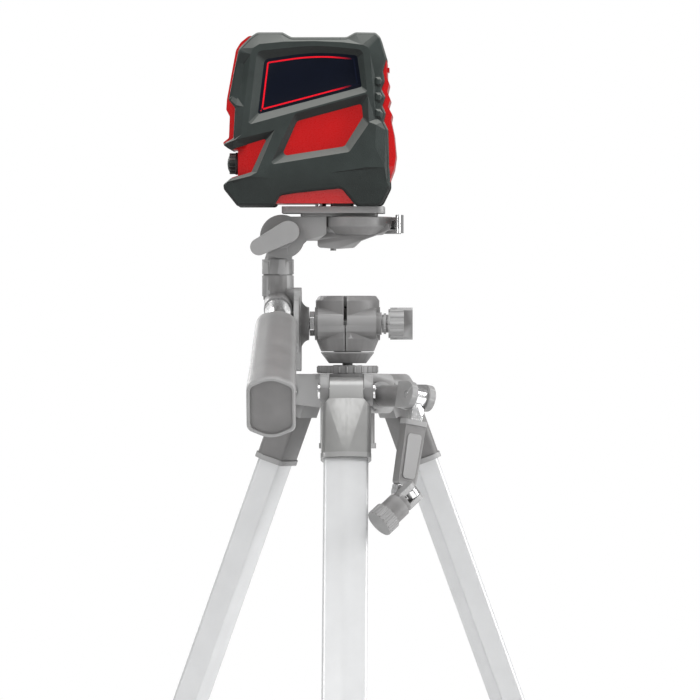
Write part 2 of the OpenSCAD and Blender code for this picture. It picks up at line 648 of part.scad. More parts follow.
module battery_cover() color("#bf1519") at_laser() {
    intersection() {
        along_y(-17, 17) rear_band(0, 2.2);
        translate([43, 0, 0]) cover_opening(0);
    }
    block([44.6, -9, 78], [46.4, 9, 80.6]);
}

module batteries() color("#59636b") at_laser() for (y = [-15, 0, 15]) translate([35.2, y, 20]) {
    rod_z(0, 49.2, 7.2);
    rod_z(49.2, 50.5, 2.7);
}

module gimbal_ring() color("#c9b26c") at_laser() translate([-10, 0, gimbal_z]) {
    difference() {
        along_z(-2.5, 2.5) polygon(rounded([[-13, -13, 3], [13, -13, 3], [13, 13, 3], [-13, 13, 3]]));
        along_z(-3, 3) polygon(rounded([[-10.6, -10.6, 2], [10.6, -10.6, 2], [10.6, 10.6, 2],
            [-10.6, 10.6, 2]]));
        rod_y(-14, 14, 1.2 + running);
    }
    rod_x(-17, -12.8, 1.2);
    rod_x(12.8, 17, 1.2);
}

module pendulum() color("#9aa0a4") at_laser() translate([-10, 0, gimbal_z]) difference() {
    union() {
        rod_y(-12.6, 12.6, 1.2);
        block([-5, -9.4, -14], [5, 9.4, 3]);
        block([-11, -10, -46], [11, 10, -14]);
        block([-6, -8, -58], [6, 8, -46]);
        rod_z(-62, -58, 9);
    }
    translate([0, 0, -24]) rod_x(-14, 14, 5.5);
    translate([0, 0, -38]) rod_x(-14, 14, 5.5);
}

module laser_modules() color("#b08d3e") at_laser() translate([-10, 0, gimbal_z]) for (z = [-24, -38])
    translate([0, 0, z]) {
        rod_x(-16, 13, 5.5);
        rod_x(-18, -16, 4);
    }

module circuit_board() color("#2c6b45") at_laser() {
    block([-22, 21.6, 22], [22, 23.2, 74]);
    block([-14, 19.6, 40], [-4, 21.6, 50]);
    block([4, 19, 58], [14, 21.6, 66]);
}

// ---------- drawing ----------

crown();
leg_bolts();
guide_tube();
guide_cap();
for (leg = legs) {
    bracket(leg[1]);
    upper_tube(leg[1]);
    clamp(leg[1]);
    clamp_lever(leg[1]);
    lower_tube(leg[1]);
    foot(leg[1]);
    strut(leg[1]);
}
brace_collar();
column_tube();
pan_base();
column_lock_ring();
crank_pinion();
crank_hub();
crank_tang();
crank_arm();
crank_yoke();
crank_grip();
pan_drum();
pan_knob();
tilt_bolt();
tilt_arm();
handle_rod();
handle_grip();
flip_pin();
wing_knob();
platform();
release_lever();
quick_plate();
mount_screw();
shell(-1);  // shell_near
shell(1);  // shell_far
bumper(-1);  // bumper_near
bumper(1);  // bumper_far
side_labels();
window_glass();
lock_knob();
battery_cover();
batteries();
gimbal_ring();
pendulum();
laser_modules();
circuit_board();
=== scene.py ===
import json
import math

import bmesh
import bpy
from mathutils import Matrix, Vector
from mathutils.geometry import delaunay_2d_cdt


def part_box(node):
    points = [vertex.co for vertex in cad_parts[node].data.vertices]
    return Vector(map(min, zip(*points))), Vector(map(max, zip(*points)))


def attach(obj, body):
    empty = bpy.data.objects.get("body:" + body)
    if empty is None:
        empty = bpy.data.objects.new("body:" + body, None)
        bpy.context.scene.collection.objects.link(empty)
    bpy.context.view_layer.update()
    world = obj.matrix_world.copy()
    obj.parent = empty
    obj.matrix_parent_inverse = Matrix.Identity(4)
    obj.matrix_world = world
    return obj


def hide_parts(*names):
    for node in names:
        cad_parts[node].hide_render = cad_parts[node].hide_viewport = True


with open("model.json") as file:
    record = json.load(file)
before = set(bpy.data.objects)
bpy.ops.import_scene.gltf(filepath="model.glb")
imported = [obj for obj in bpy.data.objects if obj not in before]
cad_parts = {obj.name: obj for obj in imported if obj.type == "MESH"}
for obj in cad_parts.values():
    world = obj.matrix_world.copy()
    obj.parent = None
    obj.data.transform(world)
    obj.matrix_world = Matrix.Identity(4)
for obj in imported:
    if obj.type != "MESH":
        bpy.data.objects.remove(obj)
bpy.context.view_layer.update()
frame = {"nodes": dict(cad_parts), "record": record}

MM = 0.001
LEGS = ("front", "right", "left")

# ---------- places, worked out from the frame ----------

screw_low, screw_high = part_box("mount_screw")
SCREW_X = (screw_low[0] + screw_high[0]) / 2
COLUMN_Y = (screw_low[1] + screw_high[1]) / 2
LASER_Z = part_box("bumper_near")[0][2]
SCREW_BEHIND = 6.4 * MM               # from the laser's middle back to the tripod screw
LASER_X = SCREW_X - SCREW_BEHIND
HALF = COLUMN_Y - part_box("bumper_near")[0][1]
SHELL_HALF = COLUMN_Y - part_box("shell_near")[0][1]


# ---------- outlines, in millimetres ----------

ARC_STEP = 1.0                        # the points of an arc are at most this far apart
ARC_TURN = math.radians(18)           # and turn by this much at most


def corner(a, p, b, r):
    """Points of the arc of radius r that rounds corner p between its neighbours a and b."""
    u = (a - p).normalized()
    w = (b - p).normalized()
    half = math.acos(max(-1, min(1, u.dot(w)))) / 2
    c = p + (u + w).normalized() * r / math.sin(half)
    s = p + u * r / math.tan(half) - c
    e = p + w * r / math.tan(half) - c
    start = math.atan2(s.y, s.x)
    turn = math.atan2(s.x * e.y - s.y * e.x, s.dot(e))
    n = max(2, math.ceil(abs(turn) * r / ARC_STEP), math.ceil(abs(turn) / ARC_TURN))
    angles = [start + turn * i / n for i in range(n + 1)]
    return [c + Vector((math.cos(t), math.sin(t))) * r for t in angles]


def rounded(points):
    """A closed outline from (x, y, corner radius) rows."""
    out = []
    for i, (x, y, r) in enumerate(points):
        a, b = points[i - 1], points[(i + 1) % len(points)]
        p = Vector((x, y))
        out += corner(Vector(a[:2]), p, Vector(b[:2]), r) if r else [p]
    return out


def inset(outline, d):
    """The outline moved inwards by d, point by point (outwards when d is negative)."""
    area = sum(outline[i - 1].x * p.y - p.x * outline[i - 1].y for i, p in enumerate(outline))
    side = 1 if area > 0 else -1
    out = []
    for i, p in enumerate(outline):
        e0 = (p - outline[i - 1]).normalized()
        e1 = (outline[(i + 1) % len(outline)] - p).normalized()
        n0 = Vector((-e0.y, e0.x)) * side
        n1 = Vector((-e1.y, e1.x)) * side
        m = (n0 + n1).normalized()
        out.append(p + m * d / max(0.4, m.dot(n0)))
    return out


def inside(p, outline):
    """True if point p lies inside the outline."""
    hit = False
    for i, b in enumerate(outline):
        a = outline[i - 1]
        if (a.y > p.y) != (b.y > p.y) and p.x < (b.x - a.x) * (p.y - a.y) / (b.y - a.y) + a.x:
            hit = not hit
    return hit


# ---------- materials ----------

def new_material(name):
    """A new material, its node tree and its surface shader."""
    mat = bpy.data.materials.new(name)
    mat.use_nodes = True
    tree = mat.node_tree
    return mat, tree, tree.nodes["Principled BSDF"]


def add(tree, kind, **values):
    """Adds a node, setting attributes and, by socket name, input values."""
    n = tree.nodes.new(kind)
    for key, value in values.items():
        if hasattr(n, key):
            setattr(n, key, value)
        else:
            n.inputs[key.replace("_", " ")].default_value = value
    return n


def noise(tree, scale, detail=3, stretch=(1, 1, 1)):
    """A noise in the piece's own coordinates. The scale is in features a metre."""
    coords = add(tree, "ShaderNodeTexCoord")
    mapping = add(tree, "ShaderNodeMapping", Scale=stretch)
    tree.links.new(coords.outputs["Object"], mapping.inputs["Vector"])
    n = add(tree, "ShaderNodeTexNoise", Scale=scale, Detail=detail)
    tree.links.new(mapping.outputs["Vector"], n.inputs["Vector"])
    return n.outputs["Fac"]


def ramp(tree, fac, low, high, low_at=0.3, high_at=0.7):
    """Maps a noise to the span from low to high."""
    n = add(tree, "ShaderNodeMapRange")
    for socket, value in zip(("From Min", "From Max", "To Min", "To Max"), (low_at, high_at, low, high)):
        n.inputs[socket].default_value = value
    tree.links.new(fac, n.inputs["Value"])
    return n.outputs["Result"]


def shade(tree, fac, dark, light):
    """A colour between two fixed ones."""
    n = add(tree, "ShaderNodeMix", data_type="RGBA")
    n.inputs["A"].default_value = (*dark, 1)
    n.inputs["B"].default_value = (*light, 1)
    tree.links.new(fac, n.inputs[0])
    return n.outputs["Result"]


def towards(tree, tint, colour, fac):
    """Mixes a tint towards a colour by a factor."""
    n = add(tree, "ShaderNodeMix", data_type="RGBA")
    n.inputs["B"].default_value = (*colour, 1)
    tree.links.new(fac, n.inputs[0])
    tree.links.new(tint, n.inputs["A"])
    return n.outputs["Result"]


def finish_surface(name, colour, rough, grain, depth, vary=0.12, metallic=0.0, stretch=(1, 1, 1), coat=0.0,
                   specular=0.5, wear_and_highlight=None, painted_top_light=None):
    """A moulded, cast or brushed surface: fine grain in the bump, blotches in colour and roughness, and edges
    rubbed towards the wear colour, which is kept pale as a painted highlight too. With a painted top-light
    colour, what looks up is painted lighter as if lit from above, and what looks down gets painted shade."""
    mat, tree, bsdf = new_material(name)
    blotch = noise(tree, 60, 4)
    fine = noise(tree, grain, 3, stretch)
    dark = [c * (1 - vary) for c in colour]
    light = [min(1, c * (1 + vary)) for c in colour]
    tint = shade(tree, ramp(tree, blotch, 0, 1), dark, light)
    # edges rubbed pale: real wear, kept bright as a painted highlight along the edges
    if wear_and_highlight:
        surface = add(tree, "ShaderNodeNewGeometry")
        tint = towards(tree, tint, wear_and_highlight, ramp(tree, surface.outputs["Pointiness"], 0, 0.7, 0.505, 0.57))
    # painted light: faces are painted lighter or darker by which way they look, up or down
    if painted_top_light:
        surface = add(tree, "ShaderNodeNewGeometry")
        split = add(tree, "ShaderNodeSeparateXYZ")
        tree.links.new(surface.outputs["Normal"], split.inputs["Vector"])
        up = split.outputs["Z"]
        # painted shade: faces that look down are darkened towards a third of the colour
        tint = towards(tree, tint, [c * 0.3 for c in colour], ramp(tree, up, 1, 0, -0.3, -0.05))
        # painted top light: faces that look up are lightened towards the painted top-light colour
        tint = towards(tree, tint, painted_top_light, ramp(tree, up, 0, 1, 0.12, 0.45))
    tree.links.new(tint, bsdf.inputs["Base Color"])
    sheen = ramp(tree, fine, max(0.03, rough - 0.08), min(1, rough + 0.08))
    tree.links.new(sheen, bsdf.inputs["Roughness"])
    bump = add(tree, "ShaderNodeBump", Strength=1.0, Distance=depth)
    tree.links.new(fine, bump.inputs["Height"])
    tree.links.new(bump.outputs["Normal"], bsdf.inputs["Normal"])
    bsdf.inputs["Metallic"].default_value = metallic
    bsdf.inputs["Coat Weight"].default_value = coat
    bsdf.inputs["Coat Roughness"].default_value = 0.12
    bsdf.inputs["Specular IOR Level"].default_value = specular
    return mat


def border_material(start, stop):
    """A red line that darkens to nothing between two places along X."""
    mat, tree, bsdf = new_material("label_border_look")
    coords = add(tree, "ShaderNodeTexCoord")
    split = add(tree, "ShaderNodeSeparateXYZ")
    tree.links.new(coords.outputs["Object"], split.inputs["Vector"])
    fade = ramp(tree, split.outputs["X"], 0, 1, start, stop)
    tint = shade(tree, fade, (0.74, 0.008, 0.02), (0.004, 0.006, 0.016))
    grain = ramp(tree, noise(tree, 1500), 0.3, 0.45)
    tree.links.new(tint, bsdf.inputs["Base Color"])
    tree.links.new(grain, bsdf.inputs["Roughness"])
    bsdf.inputs["Specular IOR Level"].default_value = 0.1
    return mat


GREY = (0.155, 0.152, 0.151)
PALE = (0.36, 0.36, 0.36)
RED = (0.43, 0.003, 0.004)
BRUSHED = (1, 1, 0.1)    # grain drawn out along Z
FINISHES = {
    # the castings' pale edges are wear and a painted highlight
    "grey_casting": dict(colour=GREY, rough=0.42, grain=2600, depth=0.00012, wear_and_highlight=PALE),
    "silver_casting": dict(colour=(0.27, 0.27, 0.265), rough=0.36, grain=700, depth=0.00001, vary=0.06,
                           metallic=0.5, stretch=BRUSHED, wear_and_highlight=PALE),
    "leg_alloy": dict(colour=(0.57, 0.575, 0.58), rough=0.4, grain=700, depth=0.00001, vary=0.03, metallic=0.3),
    "bright_steel": dict(colour=(0.80, 0.80, 0.80), rough=0.2, grain=3000, depth=0.00003, vary=0.05,
                         metallic=1.0, stretch=BRUSHED),
    "foot_rubber": dict(colour=(0.17, 0.168, 0.165), rough=0.75, grain=1500, depth=0.0003, specular=0.3),
    # the rubber gets painted top light on faces that look up and painted shade on faces that look down
    "bumper_rubber": dict(colour=(0.021, 0.028, 0.026), rough=0.55, grain=2300, depth=0.00018, vary=0.2,
                          specular=0.3, painted_top_light=(0.13, 0.138, 0.13)),
    "red_shell": dict(colour=RED, rough=0.3, grain=1900, depth=0.00004, vary=0.05, coat=0.4, specular=0.25),
    "label_film": dict(colour=(0.0025, 0.004, 0.010), rough=0.4, grain=3000, depth=0.00001, specular=0.1),
    "window": dict(colour=(0.02, 0.02, 0.022), rough=0.05, grain=300, depth=0.00001, coat=0.6),
    "black_plastic": dict(colour=(0.012, 0.012, 0.013), rough=0.45, grain=2500, depth=0.0001),
    "battery": dict(colour=(0.10, 0.12, 0.14), rough=0.3, grain=800, depth=0.00003, metallic=0.6),
    "brass": dict(colour=(0.62, 0.42, 0.15), rough=0.25, grain=2500, depth=0.00003, metallic=1.0),
    "zinc": dict(colour=(0.45, 0.46, 0.47), rough=0.4, grain=1500, depth=0.0001, metallic=0.9),
    "board": dict(colour=(0.02, 0.15, 0.06), rough=0.4, grain=900, depth=0.00005),
}
MATERIALS = {slot: finish_surface(slot + "_look", **finish) for slot, finish in FINISHES.items()}
BORDER_FADE = (14 * MM, 25 * MM)      # where the label's red border fades out, behind the laser's middle
BORDER = border_material(*(LASER_X + x for x in BORDER_FADE))
SLOTS = {s["node"]: s["material_slot"] for s in frame["record"]["subparts"]}
BODY_OF = {n: b for b, nodes in frame["record"]["behaviour"]["bodies"].items() for n in nodes}

for node, obj in frame["nodes"].items():
    obj.data.materials.clear()
    obj.data.materials.append(MATERIALS[SLOTS[node]])


# ---------- pieces ----------

def plain_object(name, bm):
    """Turns a bmesh into an object."""
    mesh = bpy.data.meshes.new(name)
    bm.to_mesh(mesh)
    bm.free()
    obj = bpy.data.objects.new(name, mesh)
    bpy.context.collection.objects.link(obj)
    return obj


def piece(name, bm, body, slot, node=None, sharp=32):
    """Turns a bmesh into a piece that rides a body and has a slot's finish, standing for a node if given."""
    bmesh.ops.remove_doubles(bm, verts=bm.verts, dist=1e-6)
    bmesh.ops.recalc_face_normals(bm, faces=bm.faces)
    obj = plain_object(name, bm)
    for f in obj.data.polygons:
        f.use_smooth = True
    obj.data.set_sharp_from_angle(angle=math.radians(sharp))
    obj.data.materials.append(MATERIALS[slot])
    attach(obj, body)
    if node:
        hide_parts(node)
    return obj


def apply_modifier(obj, modifier):
    with bpy.context.temp_override(object=obj, active_object=obj):
        bpy.ops.object.modifier_apply(modifier=modifier.name)


def softened(node, width, angle=32, change=None):
    """Stands for a CAD node, changed first if a change is given, with its edges broken by a small bevel."""
    bm = bmesh.new()
    bm.from_mesh(frame["nodes"][node].data)
    bmesh.ops.remove_doubles(bm, verts=bm.verts, dist=2e-6)
    bmesh.ops.dissolve_limit(bm, angle_limit=math.radians(1.5), verts=bm.verts, edges=bm.edges)
    if change:
        change(bm)
    obj = piece(node + "_soft", bm, BODY_OF[node], SLOTS[node], node, sharp=angle)
    bevel = obj.modifiers.new("edges", "BEVEL")
    bevel.width = width
    bevel.segments = 2
    bevel.limit_method = "ANGLE"
    bevel.angle_limit = math.radians(angle)
    bevel.harden_normals = True
    bpy.context.view_layer.objects.active = obj
    apply_modifier(obj, bevel)
    return obj


# ---------- the laser's rubber bumpers ----------

# Outlines as (behind the laser's middle, above its foot, corner radius), seen from the near side
RUBBER = [(-41.4, 0, 1.5), (-20, 0, 2), (-16.5, 6, 3), (-8, 7.4, 3), (19, 10.2, 4), (26.5, 1, 3),
          (29, 0, 1.5), (41.9, 0, 5), (47.2, 10.9, 4), (46.2, 44, 3), (43.6, 49, 2), (44.8, 53.5, 2),
          (42.8, 58, 2), (44.6, 63, 2), (42.2, 67.5, 2), (44.2, 72, 2), (43.2, 78, 2), (45.2, 85.2, 4),
          (41.5, 97.7, 4), (38.7, 100.3, 2), (27, 100.5, 3), (22, 97.7, 4), (-10, 97.7, 4), (-15, 100.5, 3),
          (-30, 100.5, 4), (-34, 97.6, 3), (-40.5, 91, 6), (-42, 83.6, 8), (-46.4, 61.4, 2), (-42.6, 56.8, 2),
          (-43.6, 39.2, 1.6), (-50.1, 35.6, 1), (-44.9, 32.6, 1), (-36, 35.4, 20), (-24.4, 38.9, 0.8),
          (-33.1, 19.6, 1), (-45, 16, 1.6), (-49.4, 12.4, 1.8), (-49, 9.6, 2)]
SHELL_LINE = [(-38, 1.6, 4), (42, 1.6, 6), (45.6, 11, 2), (49.4, 21.5, 4), (50.5, 29, 6), (49.4, 41, 8),
              (47.6, 49.4, 1), (48.3, 53.1, 1.5), (46, 57.4, 1), (47.3, 61.7, 1.5), (45.5, 66, 1),
              (46.6, 70.8, 1.5), (45.3, 74.4, 1), (45.2, 84, 6), (40.5, 96.6, 6), (-26, 96.6, 3),
              (-34.2, 98.7, 3), (-39.4, 94.8, 6), (-42.2, 90.5, 5), (-43.4, 84.5, 8), (-47.6, 62, 10),
              (-48, 56, 1.5), (-45.9, 52, 1.5), (-46.4, 39.6, 1.5), (-49.8, 37, 0.8), (-49.4, 35.6, 0.5),
              (-45.2, 33, 0.8), (-41, 32.6, 0.4), (-41, 17.7, 0.4), (-45, 16.6, 0.8), (-45.2, 13, 3)]
LABEL = [(-29.3, 53.1, 1), (30.6, 68.9, 1), (28.0, 87.0, 2), (4, 89.2, 120), (-25.4, 84.8, 3)]
LABEL_RIM = [(-34.8, 46.9, 1), (33.9, 65.9, 1), (31.4, 90.4, 4), (4, 93.0, 120), (-29.8, 89.6, 4)]
PANEL = [(-15.7, 28.8, 2), (20.8, 34.5, 3), (31.4, 51.5, 2), (30.6, 59.2, 1.5), (-6.7, 49.1, 3)]
PANEL_RIM = [(-22.4, 23.8, 1), (23.6, 31.2, 3), (34.9, 47.6, 3), (34.2, 65.0, 0.8), (-8.0, 53.3, 3)]
FACE_LINE = [(-38.9, 41.2), (-37.4, 57.4), (-33.4, 87.8), (-32.0, 91.4), (-28.4, 93.6), (-14, 95.0),
             (4, 95.3), (20, 94.6), (31.0, 93.2), (34.2, 91.8), (35.6, 88.8), (37.0, 71), (39.0, 47),
             (38.6, 34), (34, 22.4)]
NOTCH_RIM = [(-47.6, 36.2), (-43.2, 38.0), (-19.6, 43.9), (-29.9, 19.4), (-34, 17.2), (-46.8, 14.0)]
POCKET_RIM = [(-41.9, 83.4, 1), (-34.9, 86.6, 1), (-36.4, 76, 2), (-39.3, 58.2, 1.5), (-42.2, 58.4, 1),
              (-45.4, 62.5, 1)]
POCKET = [(-41.6, 81.2, 0.6), (-37.4, 83.0, 0.8), (-38.6, 74, 1), (-41.2, 61.6, 0.8), (-44.2, 63.6, 0.8)]
ROLLED_EDGE = ((0.25, 0.75), (0.8, 0.2), (1.5, 0.0))   # distance in from the silhouette, and drop
RIBS = (72, 63, 53.5)                                  # heights of the grip ribs
RIB_RISE = ((-3.4, 0), (-1.6, 1.1), (1.2, 1.1), (2.6, 0))   # height about a rib's middle, and lift
RIB_RUN = (38.6, 40.2, 41.4)                           # from a rib's front end to its rear
SKIRT = 18               # height of the line under which the lower skirt leans in, at the laser's middle
SKIRT_RISE = 0.1         # and how much it rises, for each millimetre back
SKIRT_LEAN = 0.2         # the lean, for each millimetre under the line
STRAIGHT_HALF = 20       # the housing stays straight this far from its middle plane
FRONT_CORNER = -35.4     # where the housing's slanted front edge starts on its side
FRONT_SLANT = math.radians(36.9)
BUMPER_BACK = 13         # depth of the bumpers' inner edge
SHARP_CREASE = 8         # creases of the rubber that turn by more degrees than this catch the light as lines
FACE = HALF / MM
SHELL = SHELL_HALF / MM
LABEL_FACE = SHELL + 0.9
BORDER_SIDES = (1.7, 2.6)   # distances of the border's edges in from the label's outline


def fall(p):
    """How far the lower skirt leans in under the line where the face ends."""
    return max(0, SKIRT + SKIRT_RISE * p.x - p.y) * SKIRT_LEAN


def lean(bm):
    """Leans the housing's lower skirt in, as the bumpers' skirts do."""
    bmesh.ops.bisect_plane(bm, geom=bm.verts[:] + bm.edges[:] + bm.faces[:], dist=1e-6,
                           plane_co=(LASER_X, 0, LASER_Z + SKIRT * MM), plane_no=(-SKIRT_RISE, 0, 1))
    for v in bm.verts:
        depth = abs(v.co.y - COLUMN_Y) / MM
        if depth > STRAIGHT_HALF:
            p = Vector(((v.co.x - LASER_X) / MM, (v.co.z - LASER_Z) / MM))
            drop = fall(p) * (depth - STRAIGHT_HALF) / (SHELL - STRAIGHT_HALF)
            v.co.y -= math.copysign(drop * MM, v.co.y - COLUMN_Y)


def edge_depth(p):
    """Depth of the bumper just inside its rolled edge, which falls away from the face, most at the top."""
    return FACE - 0.8 - 1.5 * max(0, min(1, (p.y - 14) / 20)) - fall(p)


def split_outside(points, outline):
    """The runs of a closed line that lie outside an outline."""
    runs, run = [], []
    for p in points + points[:1]:
        if inside(p, outline):
            runs.append(run)
            run = []
        else:
            run.append(p)
    runs.append(run)
    return [r for r in runs if len(r) > 1]


def crease_mesh(creases):
    """Triangulates creases, which are (points, closed, depth function), and gives every vertex its depth.
    Where two creases cross, the later one's depth counts."""
    verts, edges, depths = [], [], []
    for points, closed, depth in creases:
        base = len(verts)
        verts += [Vector(p) for p in points]
        depths += [depth(Vector(p)) for p in points]
        last = len(points) if closed else len(points) - 1
        edges += [(base + i, base + (i + 1) % len(points)) for i in range(last)]
    flat, _, faces, origin, _, _ = delaunay_2d_cdt(verts, edges, [], 0, 1e-5)
    out = []
    for p, source in zip(flat, origin):
        if source:
            out.append(depths[source[-1]])
            continue
        best = None
        for i, j in edges:
            span = verts[j] - verts[i]
            t = max(0, min(1, (p - verts[i]).dot(span) / max(1e-9, span.length_squared)))
            if (verts[i] + span * t - p).length < 1e-3:
                best = depths[i] + (depths[j] - depths[i]) * t
        out.append(best)
    return flat, out, faces


def laser_point(x, depth, z, side):
    """The place at x behind the laser's middle, depth to one side of it and z above its foot."""
    return Vector((LASER_X + x * MM, COLUMN_Y + side * depth * MM, LASER_Z + z * MM))


def raised(creases, outer, holes, side, back):
    """A closed solid with a flat back, whose face is the creased surface inside outer and outside holes."""
    flat, depths, faces = crease_mesh(creases)
    keep = []
    for f in faces:
        c = sum((flat[i] for i in f), Vector((0, 0))) / 3
        if inside(c, outer) and not any(inside(c, h) for h in holes):
            keep.append(f)
    used = sorted({i for f in keep for i in f})
    bm = bmesh.new()
    top = {i: bm.verts.new(laser_point(flat[i].x, depths[i], flat[i].y, side)) for i in used}
    low = {i: bm.verts.new(laser_point(flat[i].x, back, flat[i].y, side)) for i in used}
    uses = {}
    for f in keep:
        bm.faces.new([top[i] for i in f])
        bm.faces.new([low[i] for i in reversed(f)])
        for a, b in zip(f, f[1:] + f[:1]):
            uses.setdefault(frozenset((a, b)), []).append((a, b))
    for runs in uses.values():
        if len(runs) == 1:
            a, b = runs[0]
            bm.faces.new([top[b], top[a], low[a], low[b]])
    bmesh.ops.recalc_face_normals(bm, faces=bm.faces)
    return bm


def weighted(obj):
    """Keeps the flats flat where narrow rounded edges meet them."""
    mod = obj.modifiers.new("flats", "WEIGHTED_NORMAL")
    mod.keep_sharp = True
    mod.weight = 60


def cut(obj, tool):
    """Cuts one object out of another and deletes the tool."""
    mod = obj.modifiers.new("cut", "BOOLEAN")
    mod.operation = "DIFFERENCE"
    mod.solver = "EXACT"
    mod.object = tool
    apply_modifier(obj, mod)
    bpy.data.objects.remove(tool)


def housing_block(side):
    """The space that the shells fill, with their slanted front edge, as a tool that cuts the rubber."""
    line = rounded(SHELL_LINE)
    bm = bmesh.new()
    rings = [[bm.verts.new(laser_point(p.x, d, p.y, side)) for p in line] for d in (-2, SHELL)]
    for ring in rings:
        bm.faces.new(ring)
    for i, p in enumerate(line):
        bm.faces.new((rings[0][i - 1], rings[0][i], rings[1][i], rings[1][i - 1]))
    cut_plane = bmesh.ops.bisect_plane(
        bm, geom=bm.verts[:] + bm.edges[:] + bm.faces[:], plane_co=laser_point(FRONT_CORNER, SHELL, 0, side),
        plane_no=(-math.sin(FRONT_SLANT), side * math.cos(FRONT_SLANT), 0), clear_outer=True)
    bmesh.ops.edgeloop_fill(bm, edges=[e for e in cut_plane["geom_cut"] if isinstance(e, bmesh.types.BMEdge)])
    lean(bm)
    bmesh.ops.recalc_face_normals(bm, faces=bm.faces)
    return plain_object("housing_block", bm)


def cover_opening():
    """The space that the battery cover stands in and swings through, as a tool that cuts the rubber."""
    gap = Vector((0.3, 0.3, 0.3)) * MM
    low, high = (Vector(v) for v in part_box("battery_cover"))
    size = high - low + gap * 2
    bm = bmesh.new()
    bmesh.ops.create_cube(bm, size=1)
    for v in bm.verts:
        v.co = (low + high) / 2 + Vector((v.co.x * size.x, v.co.y * size.y, v.co.z * size.z))
    return plain_object("cover_opening", bm)


def bumper(node, side):
    """A rubber bumper: a raised face in a frame that falls away to rolled edges, two chamfered windows,
    a notch for the front panel, a finger pocket, grip ribs and a skirt that leans in."""
    silhouette = rounded(RUBBER)
    notch = [Vector(p) for p in NOTCH_RIM]
    pocket = rounded(POCKET_RIM)
    creases = [(silhouette, True, lambda p: edge_depth(p) - 1.4)]
    for d, drop in ROLLED_EDGE:
        for run in split_outside(inset(silhouette, d), notch):
            for part in split_outside(run, pocket) or [run]:
                creases.append((part, False, lambda p, drop=drop: edge_depth(p) - drop))
    creases.append(([Vector(p) for p in FACE_LINE], False, lambda p: FACE - fall(p)))
    creases.append((notch, False, lambda p: FACE - 0.3 - fall(p)))
    creases.append((rounded(LABEL_RIM), True, lambda p: FACE))
    creases.append((rounded(LABEL), True, lambda p: LABEL_FACE - 0.15))
    creases.append((rounded(PANEL_RIM), True, lambda p: FACE - fall(p)))
    creases.append((rounded(PANEL), True, lambda p: SHELL + 0.1))
    creases.append((rounded(POCKET), True, lambda p: SHELL + 0.25))
    for z in RIBS:
        for dz, lift in RIB_RISE:
            rib = [Vector((x, z + dz)) for x in RIB_RUN]
            creases.append((rib, False, lambda p, lift=lift: edge_depth(p) + min(lift, 2 * (p.x - RIB_RUN[0]))))
    skirt = [Vector((x, SKIRT - 0.2 + SKIRT_RISE * x)) for x in (-44, -20, 10, 44)]
    creases.append((skirt, False, lambda p: FACE - 0.5 - 0.002 * abs(p.x) ** 1.6))
    bm = raised(creases, silhouette, [rounded(LABEL), rounded(PANEL)], side, BUMPER_BACK)
    obj = piece(node + "_rubber", bm, BODY_OF[node], SLOTS[node], node)
    cut(obj, housing_block(side))
    cut(obj, cover_opening())
    obj.data.set_sharp_from_angle(angle=math.radians(SHARP_CREASE))
    weighted(obj)


def label(side):
    """A label film with a fine raised border, which leaves out the right-hand end."""
    outline = rounded(LABEL)
    edge = inset(outline, -0.3)
    creases = [(edge, True, lambda p: SHELL + 0.7), (inset(outline, 0.1), True, lambda p: LABEL_FACE)]
    bm = raised(creases, edge, [], side, SHELL + 0.02)
    name = "near" if side < 0 else "far"
    body = BODY_OF["side_labels"]
    piece("label_" + name, bm, body, "label_film", "side_labels" if side < 0 else None)
    outer, inner = (inset(outline, d) for d in BORDER_SIDES)
    creases = [(ring, True, lambda p: LABEL_FACE + 0.06) for ring in (outer, inner)]
    bm = raised(creases, outer, [inner], side, LABEL_FACE - 0.05)
    border = piece("label_border_" + name, bm, body, "label_film")
    border.data.materials[0] = BORDER


for name, side in (("near", -1), ("far", 1)):
    bumper("bumper_" + name, side)
    label(side)
    softened("shell_" + name, 0.6 * MM, angle=34, change=lean)


# ---------- the pan handle's grip ----------

def loft(rings):
    """A closed solid through rings of points, from first to last."""
    bm = bmesh.new()
    loops = [[bm.verts.new(p) for p in ring] for ring in rings]
    for a, b in zip(loops, loops[1:]):
        for i in range(len(a)):
            bm.faces.new((a[i - 1], a[i], b[i], b[i - 1]))
    bm.faces.new(loops[0])
    bm.faces.new(loops[-1])
    return bm


GRIP_POINTS = 72         # points around the grip
# Distance along the handle, width, height, and how far the top and bottom bulge
GRIP = [(40, 12, 12, 1), (41, 15, 15, 1.5), (44, 19, 20, 2), (50, 22.4, 23.4, 3), (58, 23.8, 25, 3.4),
        (84, 24.6, 27, 3.6), (110, 25.4, 29.6, 3.8), (142, 26.6, 32.8, 4), (168, 27.6, 35.4, 4.2),
        (172.6, 27.8, 35.8, 4.2), (173.6, 27.2, 35.2, 4.2), (174, 26.4, 34.4, 4.2), (174, 24.4, 32.4, 4),
        (173.6, 23.8, 31.8, 4), (172.4, 23.4, 31.4, 4)]


def even(outline, n):
    """The outline as n points evenly spaced around its middle, by direction."""
    out = []
    for k in range(n):
        a = 2 * math.pi * k / n
        d = Vector((math.cos(a), math.sin(a)))
        far = 0
        for i, q in enumerate(outline):
            p = outline[i - 1]
            e = q - p
            turn = d.x * e.y - d.y * e.x
            if abs(turn) > 1e-9:
                t = (p.x * e.y - p.y * e.x) / turn
                u = (p.x * d.y - p.y * d.x) / turn
                if t > far and -1e-6 <= u <= 1 + 1e-6:
                    far = t
        out.append(d * far)
    return out


